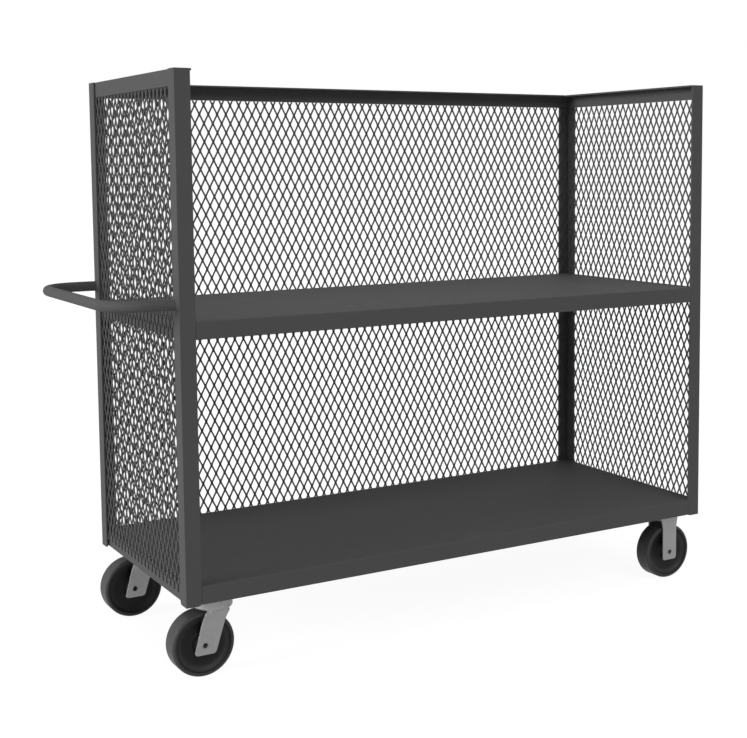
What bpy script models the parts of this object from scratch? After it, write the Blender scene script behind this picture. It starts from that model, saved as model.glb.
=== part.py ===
"""Mesh shelf trolley: an angle frame with two folded pans, mesh on three sides, a push handle and casters.

Metres, +Z up. X runs along the trolley with the push handle at -X, the open front faces -Y, and the
floor under the wheels is at Z = 0. The origin is under the middle of the whole trolley, handle included.
"""

import math

import bmesh
import bpy
from mathutils import Vector

# Frame
frame_length = 1.5335
frame_depth = 0.6191
lower_bay = 0.563
upper_bay = 0.5605
angle_width = 0.0381
angle_wall = 0.0048
rail_fillet = 0.004
fillet_steps = 2
post_drop = 0.003
post_foot_corner = 0.008

# Folded pans
deck_lip = 0.043
shelf_lip = 0.0405
pan_sheet = 0.0027
pan_bend = 0.003
bend_steps = 3

# Mesh panels: the net is coarser than the real one, with the same share of open area
mesh_sheet = 0.0023
mesh_lift = 0.008
net_pitch = 0.1143
net_rise = 0.2240
net_strand = 0.0126
net_border = 0.010

# Push handle
tube_radius = 0.0127
tube_wall = 0.002
tube_sides = 12
handle_reach = 0.147
handle_bend = 0.090
handle_rise = 0.0395
handle_bend_steps = 7

# Under the deck, with the channels' webs a little above the deck's lower edge
channel_lift = 0.008
channel_margin = 0.00485
swivel_channel_setback = 0.0141
rigid_channel_setback = 0.0068
channel_wall = 0.0048
stiffener_width = 0.076
stiffener_wall = 0.0027
stiffener_recess = 0.006

# Casters
plate_setback = 0.0115
caster_trail = 0.032
wheel_headroom = 0.0104
plate_length = 0.1143
plate_width = 0.1016
plate_thickness = 0.0064
plate_corner = 0.010
hole_edge_x = 0.01115
hole_edge_y = 0.0127

# Casters: wheel and what turns in it
wheel_radius = 0.0762
wheel_width = 0.0508
wheel_edge = 0.004
rim_width = 0.0107
face_recess = 0.006
hub_radius = 0.022
axle_radius = 0.00635
axle_bore = 0.0043
axle_flare = 0.0014
flare_thickness = 0.001
sleeve_wall = 0.0028
bearing_wall = 0.0036

# Casters: forks, with the swivel crown just inside its plate's bolt heads
leg_thickness = 0.005
leg_gap = 0.0022
leg_low_width = 0.053
leg_below_axle = 0.0225
leg_corner = 0.009
leg_overlap = 0.0015
swivel_leg_top_width = 0.058
rigid_leg_top_width = 0.062
rigid_leg_flare = 0.030
crown_head_gap = 0.0045
crown_wall = 0.006
crown_height = 0.0265
crown_roof = 0.0045
crown_hub_radius = 0.021
crown_bevel = 0.0025
race_depth = 0.009
swivel_gap = 0.0012

# Casters: fasteners
kingpin_radius = 0.0079
kingpin_head_radius = 0.0135
kingpin_head_height = 0.0045
kingpin_nut_flats = 0.0238
kingpin_nut_height = 0.0075
bolt_radius = 0.0046
bolt_clearance = 0.0008
bolt_flats = 0.0143
bolt_head_height = 0.006
bolt_nut_height = 0.008

# Clearances and facets
gap = 0.0003
race_gap = 0.0006
cut_overrun = 0.005
wheel_facets = 32
crown_facets = 24
shaft_facets = 12
hole_facets = 8
bolt_facets = 6
corner_steps = 3

# Places that follow from the sizes above
half_length = frame_length / 2
half_depth = frame_depth / 2
centre_x = (handle_reach + tube_radius) / 2
left_x = centre_x - half_length
right_x = centre_x + half_length
swivel_stack = plate_thickness + swivel_gap + race_depth + crown_roof + kingpin_nut_height + 2 * gap
channel_z = 2 * wheel_radius + wheel_headroom + swivel_stack
lip_z = channel_z - channel_lift
deck_top_z = lip_z + deck_lip
shelf_lip_z = deck_top_z + lower_bay
shelf_top_z = shelf_lip_z + shelf_lip
frame_top_z = shelf_top_z + upper_bay
frame_seat = angle_wall + gap
pan_inset = frame_seat + mesh_sheet + gap
leg_inner = wheel_width / 2 + leg_gap
leg_outer = leg_inner + leg_thickness
hub_end = leg_inner - leg_gap / 2
sleeve_radius = axle_radius + gap + sleeve_wall
bearing_inner = sleeve_radius + race_gap
bearing_radius = bearing_inner + bearing_wall
caster_y = half_depth - plate_setback - plate_width / 2
channel_width = plate_length + 2 * channel_margin
channel_inset = pan_inset + pan_sheet + channel_width / 2
swivel_x = left_x + channel_inset + swivel_channel_setback
rigid_x = right_x - channel_inset - rigid_channel_setback
hole_pitch_x = plate_length - 2 * hole_edge_x
hole_pitch_y = plate_width - 2 * hole_edge_y
bolt_corner = bolt_flats / 2 / math.cos(math.pi / 6)
crown_radius = math.hypot(hole_pitch_x, hole_pitch_y) / 2 - bolt_corner - crown_head_gap
plate_top_z = channel_z - gap
plate_under_z = plate_top_z - plate_thickness
crown_top_z = plate_under_z - swivel_gap
crown_under_z = crown_top_z - crown_height
groove_floor_z = crown_top_z - race_depth
crown_roof_z = groove_floor_z - crown_roof
race_inner = crown_hub_radius
race_outer = crown_radius - crown_wall


def clear_scene():
    for thing in list(bpy.data.objects):
        bpy.data.objects.remove(thing, do_unlink=True)


def finish(name, color, roughness, metallic):
    material = bpy.data.materials.new(name)
    material.use_nodes = True
    shader = material.node_tree.nodes["Principled BSDF"]
    shader.inputs["Base Color"].default_value = (*color, 1.0)
    shader.inputs["Roughness"].default_value = roughness
    shader.inputs["Metallic"].default_value = metallic
    return material


def add_object(name, mesh, material=None, location=(0, 0, 0), rotation=(0, 0, 0)):
    piece = bpy.data.objects.new(name, mesh)
    bpy.context.scene.collection.objects.link(piece)
    piece.location = location
    piece.rotation_euler = rotation
    if material:
        mesh.materials.clear()
        mesh.materials.append(material)
    return piece


def helper(name, mesh, location=(0, 0, 0), rotation=(0, 0, 0)):
    """A cutter or an added shape, which isn't a piece itself."""
    piece = add_object(name, mesh, None, location, rotation)
    piece.hide_render = True
    piece.display_type = "WIRE"
    return piece


def combine(piece, other, operation):
    step = piece.modifiers.new(other.name, "BOOLEAN")
    step.operation = operation
    step.object = other
    step.solver = "EXACT"


def closed_mesh(name, shape, smooth_angle=None):
    """Turns a bmesh into a mesh whose faces point out."""
    bmesh.ops.recalc_face_normals(shape, faces=shape.faces)
    mesh = bpy.data.meshes.new(name)
    shape.to_mesh(mesh)
    shape.free()
    if smooth_angle:
        mesh.shade_smooth()
        mesh.set_sharp_from_angle(angle=smooth_angle)
    return mesh


def join_rings(shape, one, two):
    """A band of faces between two rings of equally many points."""
    for i in range(len(one)):
        j = (i + 1) % len(one)
        shape.faces.new((one[i], one[j], two[j], two[i]))


def prism(name, outlines, along):
    """A mesh with each flat outline pushed along one vector, kept as separate shapes."""
    shape = bmesh.new()
    for outline in outlines:
        near = [shape.verts.new(point) for point in outline]
        far = [shape.verts.new(Vector(point) + Vector(along)) for point in outline]
        shape.faces.new(near)
        shape.faces.new(far)
        join_rings(shape, near, far)
    return closed_mesh(name, shape)


def box(name, low, high):
    x0, y0, z0 = low
    x1, y1, z1 = high
    return prism(name, [[(x0, y0, z0), (x1, y0, z0), (x1, y1, z0), (x0, y1, z0)]], (0, 0, z1 - z0))


def loft(name, rings, closed=False, smooth_angle=None):
    """Joins rings of equally many points: closed back on the first ring, or capped at both ends."""
    shape = bmesh.new()
    loops = [[shape.verts.new(point) for point in ring] for ring in rings]
    for one, two in zip(loops, loops[1:]):
        join_rings(shape, one, two)
    if closed:
        join_rings(shape, loops[-1], loops[0])
    else:
        shape.faces.new(loops[0])
        shape.faces.new(loops[-1])
    return closed_mesh(name, shape, smooth_angle)


def circle(radius, z, facets, half_step=False):
    """A ring of points; half_step turns a flat side, not a corner, to the bottom of a wheel."""
    start = math.pi / facets if half_step else 0
    turns = [start + 2 * math.pi * i / facets for i in range(facets)]
    return [(radius * math.cos(a), radius * math.sin(a), z) for a in turns]


def hexagon(flats, z, facets):
    """A hexagon as a ring of points, where facets is six or a multiple of it."""
    ring = []
    for i in range(facets):
        turn = 2 * math.pi * i / facets
        from_middle = turn % (math.pi / 3) - math.pi / 6
        reach = flats / 2 / math.cos(from_middle)
        ring.append((reach * math.cos(turn), reach * math.sin(turn), z))
    return ring


def rounded(corners, radii):
    """A flat outline whose corners are arcs of the given radii, or stay sharp where a radius is zero."""
    outline = []
    for i, (corner, radius) in enumerate(zip(corners, radii)):
        here = Vector(corner)
        if not radius:
            outline.append(here)
            continue
        back = (Vector(corners[i - 1]) - here).normalized()
        ahead = (Vector(corners[(i + 1) % len(corners)]) - here).normalized()
        half = back.angle(ahead) / 2
        reach = radius / math.tan(half)
        middle = here + (back + ahead).normalized() * (radius / math.sin(half))
        start = here + back * reach - middle
        end = here + ahead * reach - middle
        for step in range(corner_steps + 1):
            outline.append(middle + radius * start.slerp(end, step / corner_steps))
    return outline


def drill(piece, name, radius, places, low_z, high_z):
    """Round vertical holes through a piece, as one cutter."""
    outlines = []
    for x, y in places:
        outlines.append([(x + dx, y + dy, z) for dx, dy, z in circle(radius, low_z, hole_facets)])
    combine(piece, helper(name, prism(name, outlines, (0, 0, high_z - low_z))), "DIFFERENCE")


def angle_section(fillet):
    """The frame angle's section from its heel, with the given radius in its inside corner."""
    section = [(0, 0), (angle_width, 0), (angle_width, angle_wall)]
    centre = angle_wall + fillet
    steps = fillet_steps if fillet else 0
    for step in range(steps + 1):
        turn = math.pi / 2 * step / fillet_steps
        section.append((centre - fillet * math.sin(turn), centre - fillet * math.cos(turn)))
    return section + [(angle_wall, angle_width), (0, angle_width)]


def add_post(name, side_x, side_y, material):
    """An upright angle with its heel at one corner of the frame and its two feet rounded off."""
    heel_x = centre_x + side_x * half_length
    heel_y = side_y * half_depth
    section = angle_section(0)
    shape = bmesh.new()
    levels = []
    for z in (lip_z - post_drop, frame_top_z):
        levels.append([shape.verts.new((heel_x - side_x * a, heel_y - side_y * b, z)) for a, b in section])
        shape.faces.new(levels[-1])
    low, high = levels
    join_rings(shape, low, high)
    feet = [shape.edges.get((low[1], low[2])), shape.edges.get((low[-2], low[-1]))]
    bmesh.ops.bevel(shape, geom=feet, offset=post_foot_corner, segments=corner_steps, profile=0.5,
                    affect="EDGES")
    add_object(name, closed_mesh(name, shape), material)


def add_top_rails(material):
    """Three rails between the posts, mitred where they meet at the back."""
    end_x = half_length - frame_seat
    end_y = half_depth - frame_seat
    section = angle_section(rail_fillet)
    rear = []
    for side in (-1, 1):
        rear.append([(centre_x + side * (end_x - inboard - gap), end_y - inboard, frame_top_z - drop)
                     for inboard, drop in section])
    add_object("top_rail_rear", loft("top_rail_rear", rear), material)
    for name, side in (("top_rail_left", -1), ("top_rail_right", 1)):
        front = []
        back = []
        for inboard, drop in section:
            x = centre_x + side * (end_x - inboard)
            front.append((x, -end_y, frame_top_z - drop))
            back.append((x, end_y - inboard - gap, frame_top_z - drop))
        add_object(name, loft(name, [front, back]), material)


def add_pan(name, low_z, lip, material):
    """A folded pan: lips hang from all four sides, and the front one lies between the front posts."""
    side_x = half_length - pan_inset
    front_x = half_length - angle_width - gap
    front_y = -half_depth
    step_y = front_y + frame_seat
    rear_y = half_depth - pan_inset
    right_half = [(front_x, front_y), (front_x, step_y), (side_x, step_y), (side_x, rear_y)]
    plan = right_half + [(-x, y) for x, y in reversed(right_half)]
    shape = bmesh.new()
    low = [shape.verts.new((centre_x + x, y, low_z)) for x, y in plan]
    high = [shape.verts.new((centre_x + x, y, low_z + lip)) for x, y in plan]
    shape.faces.new(low)
    shape.faces.new(high)
    join_rings(shape, low, high)
    folds = [shape.edges.get((high[i - 1], high[i])) for i in (0, 3, 4, 5)]
    bmesh.ops.bevel(shape, geom=folds, offset=pan_bend, segments=bend_steps, profile=0.5, affect="EDGES")
    pan = add_object(name, closed_mesh(name, shape, math.radians(40)), material)
    inside_low = (centre_x - side_x + pan_sheet, front_y + pan_sheet, low_z - cut_overrun)
    inside_high = (centre_x + side_x - pan_sheet, rear_y - pan_sheet, low_z + lip - pan_sheet)
    combine(pan, helper(name + "_inside", box(name + "_inside", inside_low, inside_high)), "DIFFERENCE")


def clipped(outline, low, high):
    """The part of a flat outline between two limits on each axis."""
    for axis in (0, 1):
        for limit, side in ((low[axis], 1), (high[axis], -1)):
            kept = []
            for i, here in enumerate(outline):
                before = outline[i - 1]
                here_in = side * (here[axis] - limit) >= 0
                if here_in != (side * (before[axis] - limit) >= 0):
                    share = (limit - before[axis]) / (here[axis] - before[axis])
                    kept.append([before[k] + share * (here[k] - before[k]) for k in (0, 1)])
                if here_in:
                    kept.append(here)
            outline = kept
    return outline


def outline_area(outline):
    pairs = [(outline[i - 1], point) for i, point in enumerate(outline)]
    return abs(sum(a[0] * b[1] - b[0] * a[1] for a, b in pairs)) / 2


def net_holes(width, height):
    """Diamond openings of a net around its middle, as flat outlines inside its border."""
    half_pitch = net_pitch / 2
    half_rise = net_rise / 2
    strand_distance = half_pitch * half_rise / math.hypot(half_pitch, half_rise)
    open_share = 1 - net_strand / 2 / strand_distance
    reach_x = width / 2 - net_border
    reach_z = height / 2 - net_border
    columns = math.ceil(reach_x / half_pitch)
    rows = math.ceil(reach_z / half_rise)
    holes = []
    for i in range(-columns, columns + 1):
        for j in range(-rows, rows + 1):
            if (i + j) % 2:
                continue
            x = i * half_pitch
            z = j * half_rise
            diamond = [[x + open_share * half_pitch, z], [x, z + open_share * half_rise],
                       [x - open_share * half_pitch, z], [x, z - open_share * half_rise]]
            hole = clipped(diamond, (-reach_x, -reach_z), (reach_x, reach_z))
            if len(hole) > 2 and outline_area(hole) > net_strand * net_strand:
                holes.append(hole)
    return holes


def add_net(name, start, end, outward, material):
    """A mesh panel between two points in plan, its outer face on them, from near the deck lip to the rail."""
    start = Vector((*start, 0))
    run = Vector((*end, 0)) - start
    along = run.normalized()
    up = Vector((0, 0, 1))
    low_z = lip_z + mesh_lift
    high_z = frame_top_z - angle_width - gap
    middle = start + run / 2 + up * ((low_z + high_z) / 2)
    outward = Vector((*outward, 0))
    half_x = run.length / 2
    half_z = (high_z - low_z) / 2

    def place(outline, out):
        return [middle + across * along + height * up + out * outward for across, height in outline]

    sheet = place([(-half_x, -half_z), (half_x, -half_z), (half_x, half_z), (-half_x, half_z)], 0)
    panel = add_object(name, prism(name, [sheet], -mesh_sheet * outward), material)
    holes = [place(hole, cut_overrun) for hole in net_holes(run.length, high_z - low_z)]
    through = -(mesh_sheet + 2 * cut_overrun) * outward
    combine(panel, helper(name + "_holes", prism(name + "_holes", holes, through)), "DIFFERENCE")


def add_nets(material):
    end_x = half_length - frame_seat
    end_y = half_depth - frame_seat
    side_end_y = end_y - mesh_sheet - gap
    add_net("mesh_rear", (centre_x - end_x, end_y), (centre_x + end_x, end_y), (0, 1), material)
    for name, side in (("mesh_left", -1), ("mesh_right", 1)):
        x = centre_x + side * end_x
        add_net(name, (x, -end_y), (x, side_end_y), (side, 0), material)


def add_handle(material):
    """A bent tube from the front post's side, along the end of the trolley and back to the rear post."""
    post_y = half_depth - angle_width / 2
    bar_x = left_x - handle_reach
    z = shelf_top_z + handle_rise
    stations = [((left_x - gap, -post_y), math.pi)]
    for side, start_turn in ((-1, math.pi), (1, math.pi / 2)):
        bend_centre = Vector((bar_x + handle_bend, side * (post_y - handle_bend)))
        for step in range(handle_bend_steps + 1):
            heading = start_turn - math.pi / 2 * step / handle_bend_steps
            outward = Vector((math.cos(heading + math.pi / 2), math.sin(heading + math.pi / 2)))
            stations.append((bend_centre + handle_bend * outward, heading))
    stations.append(((left_x - gap, post_y), 0))

    def tube_ring(station, radius):
        (x, y), heading = station
        side_x = math.cos(heading + math.pi / 2)
        side_y = math.sin(heading + math.pi / 2)
        return [(x + c * side_x, y + c * side_y, z + s) for c, s, _ in circle(radius, 0, tube_sides)]

    outer = [tube_ring(station, tube_radius) for station in stations]
    inner = [tube_ring(station, tube_radius - tube_wall) for station in reversed(stations)]
    add_object("push_handle", loft("push_handle", outer + inner, True, math.radians(50)), material)


def plate_holes(x, y):
    return [(x + i * hole_pitch_x / 2, y + j * hole_pitch_y / 2) for i in (-1, 1) for j in (-1, 1)]


def add_channel(name, x, width, wall, low_z, material):
    """A channel across the trolley, open at the top, between the deck's front and rear lips."""
    half = width / 2
    height = deck_top_z - pan_sheet - gap - low_z
    front_y = frame_seat - half_depth
    rear_y = half_depth - pan_inset - pan_sheet - gap
    section = [(-half, 0), (half, 0), (half, height), (half - wall, height), (half - wall, wall),
               (wall - half, wall), (wall - half, height), (-half, height)]
    outline = [(x + across, front_y, low_z + up) for across, up in section]
    return add_object(name, prism(name, [outline], (0, rear_y - front_y, 0)), material)


def add_channels(material):
    for name, x in (("caster_channel_left", swivel_x), ("caster_channel_right", rigid_x)):
        channel = add_channel(name, x, channel_width, channel_wall, channel_z, material)
        places = plate_holes(x, -caster_y) + plate_holes(x, caster_y)
        high_z = channel_z + channel_wall + cut_overrun
        drill(channel, name + "_holes", bolt_radius + bolt_clearance, places, channel_z - cut_overrun, high_z)
    low_z = lip_z + stiffener_recess
    add_channel("deck_stiffener", centre_x, stiffener_width, stiffener_wall, low_z, material)


def plate_mesh(name):
    half_x = plate_length / 2
    half_y = plate_width / 2
    z = plate_under_z
    corners = [(-half_x, -half_y, z), (half_x, -half_y, z), (half_x, half_y, z), (-half_x, half_y, z)]
    return prism(name, [rounded(corners, [plate_corner] * 4)], (0, 0, plate_thickness))


def drill_plate(plate, name, place):
    low_z = plate_under_z - cut_overrun
    high_z = plate_top_z + cut_overrun
    places = plate_holes(place[0], place[1])
    drill(plate, name + "_holes", bolt_radius + bolt_clearance, places, low_z, high_z)


def add_legs(fork, name, sides, trail):
    """Two legs joined to a fork, with one hole through both for the axle.

    sides lists half widths and heights, centred on the fork, from the top down to above the foot.
    """
    foot_z = wheel_radius - leg_below_axle
    half_foot = leg_low_width / 2
    corners = [(half, z) for half, z in sides] + [(half_foot - trail, foot_z), (-half_foot - trail, foot_z)]
    corners += [(-half, z) for half, z in reversed(sides)]
    middle = [leg_corner] * (len(corners) - 2)
    for end, side in (("front", -1), ("rear", 1)):
        outline = rounded([(x, side * leg_inner, z) for x, z in corners], [0] + middle + [0])
        label = f"{name}_{end}_leg"
        leg = helper(label, prism(label, [outline], (0, side * leg_thickness, 0)), fork.location)
        combine(fork, leg, "UNION")
    reach = leg_outer + cut_overrun
    rings = [circle(axle_radius + gap, y, shaft_facets) for y in (-reach, reach)]
    place = Vector(fork.location) + Vector((-trail, 0, wheel_radius))
    hole = helper(name + "_axle_hole", loft(name + "_axle_hole", rings), place, (math.pi / 2, 0, 0))
    combine(fork, hole, "DIFFERENCE")


def add_swivel_plate(name, place, material):
    """The fixed plate of a swivel caster, with a raised race under it and a sunk seat for the kingpin."""
    plate = add_object(name, plate_mesh(name), material, place)
    low_z = plate_under_z - race_gap
    high_z = plate_under_z + plate_thickness / 2
    inner = race_inner + race_gap
    outer = race_outer - race_gap
    profile = [(inner, low_z), (outer, low_z), (outer, high_z), (inner, high_z)]
    rings = [circle(r, z, crown_facets) for r, z in profile]
    combine(plate, helper(name + "_race", loft(name + "_race", rings, True), place), "UNION")
    seat_z = plate_top_z - kingpin_head_height - gap
    shank = kingpin_radius + gap
    head = kingpin_head_radius + gap
    rings = [circle(shank, plate_under_z - cut_overrun, shaft_facets), circle(shank, seat_z, shaft_facets),
             circle(head, seat_z, shaft_facets), circle(head, plate_top_z + cut_overrun, shaft_facets)]
    combine(plate, helper(name + "_seat", loft(name + "_seat", rings), place), "DIFFERENCE")
    drill_plate(plate, name, place)


def add_kingpin(name, place, material):
    """The pivot of a swivel caster, sunk in the plate and held under the crown by its nut."""
    nut_top = crown_roof_z - gap
    head_low = plate_top_z - kingpin_head_height
    rings = [circle(kingpin_head_radius, plate_top_z, shaft_facets),
             circle(kingpin_head_radius, head_low, shaft_facets),
             circle(kingpin_radius, head_low, shaft_facets), circle(kingpin_radius, nut_top, shaft_facets),
             hexagon(kingpin_nut_flats, nut_top, shaft_facets),
             hexagon(kingpin_nut_flats, nut_top - kingpin_nut_height, shaft_facets)]
    add_object(name, loft(name, rings, False, math.radians(40)), material, place)


def add_ball_ring(name, place, material):
    """The bearing balls between the plate's race and the crown's groove, as one ring."""
    top_z = plate_under_z - race_gap - gap
    low_z = groove_floor_z + gap
    middle_r = (race_inner + race_outer) / 2
    middle_z = (low_z + top_z) / 2
    half = (top_z - low_z) / 2
    slope = half / 2
    profile = [(middle_r - half, middle_z), (middle_r - slope, low_z), (middle_r + slope, low_z),
               (middle_r + half, middle_z), (middle_r + slope, top_z), (middle_r - slope, top_z)]
    rings = [circle(r, z, crown_facets) for r, z in profile]
    add_object(name, loft(name, rings, True, math.radians(70)), material, place)


def add_swivel_fork(name, place, material):
    """The turning crown with its ball groove, hollow below, and the two raked legs."""
    bore = kingpin_radius + race_gap
    skirt = crown_radius - crown_wall
    low_z = crown_under_z
    inside = [(skirt, low_z), (skirt, crown_roof_z), (bore, crown_roof_z), (bore, crown_top_z)]
    groove = [(race_inner, crown_top_z), (race_inner, groove_floor_z), (race_outer, groove_floor_z),
              (race_outer, crown_top_z)]
    outside = [(crown_radius - crown_bevel, crown_top_z), (crown_radius, crown_top_z - crown_bevel),
               (crown_radius, low_z + crown_bevel), (crown_radius - crown_bevel, low_z)]
    profile = inside + groove + outside
    rings = [circle(r, z, crown_facets) for r, z in profile]
    fork = add_object(name, loft(name, rings, True, math.radians(40)), material, place)
    add_legs(fork, name, [(swivel_leg_top_width / 2, crown_roof_z + leg_overlap)], caster_trail)


def add_rigid_fork(name, place, material):
    """A plate with its fork formed as one with it."""
    fork = add_object(name, plate_mesh(name), material, place)
    top_z = plate_under_z + leg_overlap
    half_web = leg_low_width / 2
    low = (-half_web, -leg_outer + leg_overlap, plate_under_z - leg_thickness)
    high = (half_web, leg_outer - leg_overlap, top_z + leg_overlap)
    combine(fork, helper(name + "_web", box(name + "_web", low, high), place), "UNION")
    sides = [(rigid_leg_top_width / 2, top_z), (leg_low_width / 2, plate_under_z - rigid_leg_flare)]
    add_legs(fork, name, sides, 0)
    drill_plate(fork, name, place)


def add_turned(name, half_profile, facets, place, material, flat_side=False):
    """A body of revolution about Y from one half of its profile, as radius and place along the axle."""
    profile = half_profile + [(r, -y) for r, y in reversed(half_profile)]
    rings = [circle(r, y, facets, flat_side) for r, y in profile]
    add_object(name, loft(name, rings, True, math.radians(30)), material, place, (math.pi / 2, 0, 0))


def add_axle(name, place, material):
    """A hollow axle, swaged out at both ends to hold it in the fork."""
    start = leg_outer + gap
    end = start + flare_thickness
    wide = axle_radius + axle_flare
    half = [(axle_radius, start), (wide, start), (wide, end), (axle_bore, end)]
    add_turned(name, half, shaft_facets, place, material)


def add_sleeve(name, place, material):
    """The spacer that the fork clamps between its legs, with the bearing running on it."""
    end = leg_inner - gap
    add_turned(name, [(sleeve_radius, end), (axle_radius + gap, end)], shaft_facets, place, material)


def add_bearing(name, place, material):
    """The roller cage pressed in the wheel's hub."""
    end = hub_end - gap
    add_turned(name, [(bearing_radius, end), (bearing_inner, end)], shaft_facets, place, material)


def add_wheel(name, place, material):
    """A solid wheel: flat tread, raised rims, dished faces and a hub."""
    facet_share = 1 / math.cos(math.pi / wheel_facets)
    tread = wheel_radius * facet_share
    edge = (wheel_radius - wheel_edge) * facet_share
    rim = wheel_radius - rim_width
    face = wheel_width / 2
    web = face - face_recess
    bore = (bearing_radius + gap) * facet_share
    half = [(tread, face - wheel_edge), (edge, face), (rim, face), (rim - face_recess / 2, web),
            (hub_radius + face_recess / 2, web), (hub_radius, hub_end), (bore, hub_end)]
    add_turned(name, half, wheel_facets, place, material, True)


def add_bolt(name, x, y, material):
    """A hexagon bolt with its nut: head under the caster plate, nut on the channel's web."""
    head_top = plate_under_z - gap
    nut_low = channel_z + channel_wall + gap
    levels = [hexagon(bolt_flats, head_top - bolt_head_height, bolt_facets),
              hexagon(bolt_flats, head_top, bolt_facets), circle(bolt_radius, head_top, bolt_facets),
              circle(bolt_radius, nut_low, bolt_facets), hexagon(bolt_flats, nut_low, bolt_facets),
              hexagon(bolt_flats, nut_low + bolt_nut_height, bolt_facets)]
    add_object(name, loft(name, levels), material, (x, y, 0))


def add_caster_bolts(prefix, x, y, material):
    for i, (bolt_x, bolt_y) in enumerate(plate_holes(x, y)):
        add_bolt(f"{prefix}_bolt_{i + 1}", bolt_x, bolt_y, material)


def add_wheel_set(label, axle_place, zinc, steel, tread):
    add_axle("axle_" + label, axle_place, zinc)
    add_sleeve("axle_sleeve_" + label, axle_place, steel)
    add_bearing("wheel_bearing_" + label, axle_place, steel)
    add_wheel("wheel_" + label, axle_place, tread)


def add_casters(zinc, steel, tread):
    for end, y in (("front", -caster_y), ("rear", caster_y)):
        place = (swivel_x, y, 0)
        add_swivel_plate("swivel_plate_" + end, place, zinc)
        add_kingpin("kingpin_" + end, place, steel)
        add_ball_ring("ball_ring_" + end, place, steel)
        add_swivel_fork("swivel_fork_" + end, place, zinc)
        add_wheel_set("swivel_" + end, (swivel_x - caster_trail, y, wheel_radius), zinc, steel, tread)
        add_caster_bolts("swivel_" + end, swivel_x, y, zinc)
        add_rigid_fork("rigid_fork_" + end, (rigid_x, y, 0), zinc)
        add_wheel_set("rigid_" + end, (rigid_x, y, wheel_radius), zinc, steel, tread)
        add_caster_bolts("rigid_" + end, rigid_x, y, zinc)


def build():
    clear_scene()
    paint = finish("grey_paint", (0.058, 0.058, 0.059), 0.65, 0.0)
    zinc = finish("zinc_plate", (0.27, 0.27, 0.275), 0.45, 0.8)
    steel = finish("bright_steel", (0.48, 0.48, 0.49), 0.3, 1.0)
    tread = finish("black_phenolic", (0.014, 0.014, 0.0145), 0.5, 0.0)
    for depth_name, side_y in (("front", -1), ("rear", 1)):
        for side_name, side_x in (("left", -1), ("right", 1)):
            add_post(f"post_{depth_name}_{side_name}", side_x, side_y, paint)
    add_top_rails(paint)
    add_pan("lower_deck", lip_z, deck_lip, paint)
    add_pan("middle_shelf", shelf_lip_z, shelf_lip, paint)
    add_nets(paint)
    add_handle(paint)
    add_channels(paint)
    add_casters(zinc, steel, tread)


build()
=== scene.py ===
"""The mesh shelf trolley in its full look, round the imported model. Metres, +Z up, as in the model."""

import math
from itertools import product

import bmesh
import bpy
import numpy as np
from mathutils import Euler, Matrix, Vector


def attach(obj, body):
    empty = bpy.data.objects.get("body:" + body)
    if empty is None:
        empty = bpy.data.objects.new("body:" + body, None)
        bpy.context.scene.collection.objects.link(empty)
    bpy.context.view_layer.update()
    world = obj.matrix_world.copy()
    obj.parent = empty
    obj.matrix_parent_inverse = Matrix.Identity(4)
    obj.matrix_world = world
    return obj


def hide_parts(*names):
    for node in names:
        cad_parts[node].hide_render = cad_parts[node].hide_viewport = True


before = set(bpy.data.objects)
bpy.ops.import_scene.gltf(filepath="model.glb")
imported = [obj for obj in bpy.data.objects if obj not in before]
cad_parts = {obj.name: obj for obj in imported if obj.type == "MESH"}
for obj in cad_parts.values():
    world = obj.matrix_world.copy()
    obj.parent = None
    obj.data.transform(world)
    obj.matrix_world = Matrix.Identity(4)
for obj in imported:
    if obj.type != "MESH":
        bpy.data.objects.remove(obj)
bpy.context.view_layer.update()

# Sizes of the frame, as in the model
frame_length = 1.5335
frame_depth = 0.6191
frame_top_z = 1.3910
angle_width = 0.0381
angle_wall = 0.0048
lip_z = 0.1840
mesh_sheet = 0.0023
tube_radius = 0.0127
tube_wall = 0.0020
handle_reach = 0.1470
handle_bend = 0.0900
handle_z = 0.8700
gap = 0.0003
merge_distance = 0.00002
cut_distance = 0.000001
cap_distance = 0.000005

# Sizes of the casters, as in the model
plate_length = 0.1143
plate_width = 0.1016
plate_thickness = 0.0064
plate_corner = 0.0100
hole_pitch_x = 0.0920
hole_pitch_y = 0.0762
channel_lift = 0.0080
swivel_inset = 0.0865
rigid_inset = 0.0792
caster_setback = 0.0623
caster_trail = 0.0320
wheel_radius = 0.0762
wheel_width = 0.0508
hub_radius = 0.0220
hub_bore = 0.01395
axle_radius = 0.00635
axle_bore = 0.0043
leg_inner = 0.0276
leg_thickness = 0.0050
leg_low_width = 0.0530
leg_below_axle = 0.0225
swivel_leg_top_width = 0.0580
rigid_leg_top_width = 0.0620
crown_radius = 0.04697
crown_top_z = 0.1841
crown_under_z = 0.1576
groove_floor_z = 0.1751
crown_roof_z = 0.1706
race_inner = 0.0210
race_outer = 0.04097
kingpin_hole = 0.0085
bolt_radius = 0.0046
bolt_flats = 0.0143
bolt_head_height = 0.0060
bolt_nut_height = 0.0080
bolt_washer_face = 0.0006
bolt_face_share = 0.95
bolt_washer_share = 0.96

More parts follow.
